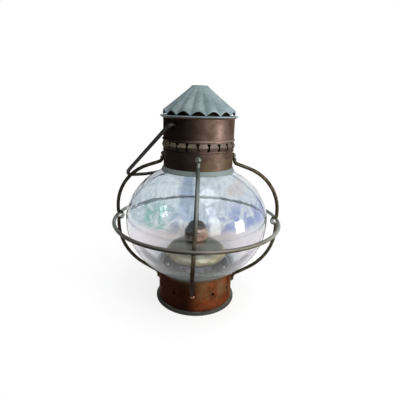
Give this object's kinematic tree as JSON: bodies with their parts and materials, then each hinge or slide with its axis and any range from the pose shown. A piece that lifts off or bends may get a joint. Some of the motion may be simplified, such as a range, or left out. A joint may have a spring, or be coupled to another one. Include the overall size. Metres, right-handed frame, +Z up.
{
  "type": "oil lantern",
  "caption": "Ship's oil lantern: onion-shaped glass globe in a wire cage, fluted vented cap, swinging wire handle, and a lift-out lamp with a flat-wick burner.",
  "frame": {"origin": "middle of the foot, on the floor", "axes": "+Z up along the lantern's axis; -Y towards the viewer, through the front guard"},
  "size_m": [0.2314, 0.2314, 0.2968],
  "materials": {
    "rim_patina": "dark grey-green patina",
    "copper_base": "mottled oxidised copper",
    "aged_brass": "dull aged brass",
    "packing_felt": "grey felt",
    "globe_glass": "clear blown glass",
    "verdigris": "matte verdigris",
    "dark_copper": "satin dark copper",
    "cage_wire": "dark olive patina",
    "bail_wire": "blackened wire",
    "font_brass": "dull cream-olive brass",
    "burner_copper": "oxidised copper",
    "wick_cotton": "woven cotton"
  },
  "bodies": {
    "lantern": {"base_rim": "rim_patina", "base_collar": "copper_base", "bayonet_ring": "aged_brass", "lower_globe_seat": "aged_brass", "lower_packing_ring": "packing_felt", "globe": "globe_glass", "upper_packing_ring": "packing_felt", "upper_gallery_ring": "verdigris", "chimney_collar": "dark_copper", "vent_band": "dark_copper", "chimney_drum": "dark_copper", "drum_flange": "verdigris", "cap_baffle": "dark_copper", "fluted_cap": "verdigris", "cap_disc": "verdigris", "guard_front": "cage_wire", "guard_right": "cage_wire", "guard_back": "cage_wire", "guard_left": "cage_wire", "guard_ring": "cage_wire", "upper_guard_rivets": "cage_wire", "lower_guard_rivets": "cage_wire"},
    "handle": {"bail_handle": "bail_wire"},
    "lamp": {"font_base_plate": "font_brass", "font_stand": "font_brass", "font_bowl": "font_brass", "font_top": "font_brass", "font_collar": "font_brass", "burner_body": "burner_copper", "burner_cone": "burner_copper", "wick_tube": "burner_copper"},
    "raiser": {"wick_shaft": "burner_copper", "wick_wheels": "burner_copper", "wick_knob": "burner_copper"},
    "wick_strip": {"wick": "wick_cotton"}
  },
  "joints": [
    {"name": "bail_swing", "type": "hinge", "parent": "lantern", "child": "handle", "pos_m": [0, 0, 0.2503], "axis": [0.6074, 0.7944, 0], "range_deg": [0, 262]},
    {"name": "lamp_twist", "type": "hinge", "parent": "lantern", "child": "lamp", "pos_m": [0, 0, 0.0088], "axis": [0, 0, 1], "range_deg": [0, 28]},
    {"name": "knob_turn", "type": "hinge", "parent": "lamp", "child": "raiser", "pos_m": [0.005, 0, 0.0966], "axis": [0, 1, 0], "range_deg": [-80, 118]},
    {"name": "wick_raise", "type": "slide", "parent": "lamp", "child": "wick_strip", "axis": [0, 0, 1], "range_m": [-0.0049, 0.0073]}
  ],
  "couplings": [
    {"joint": "wick_raise", "follows": "knob_turn", "m_per_rad": 0.0035}
  ]
}
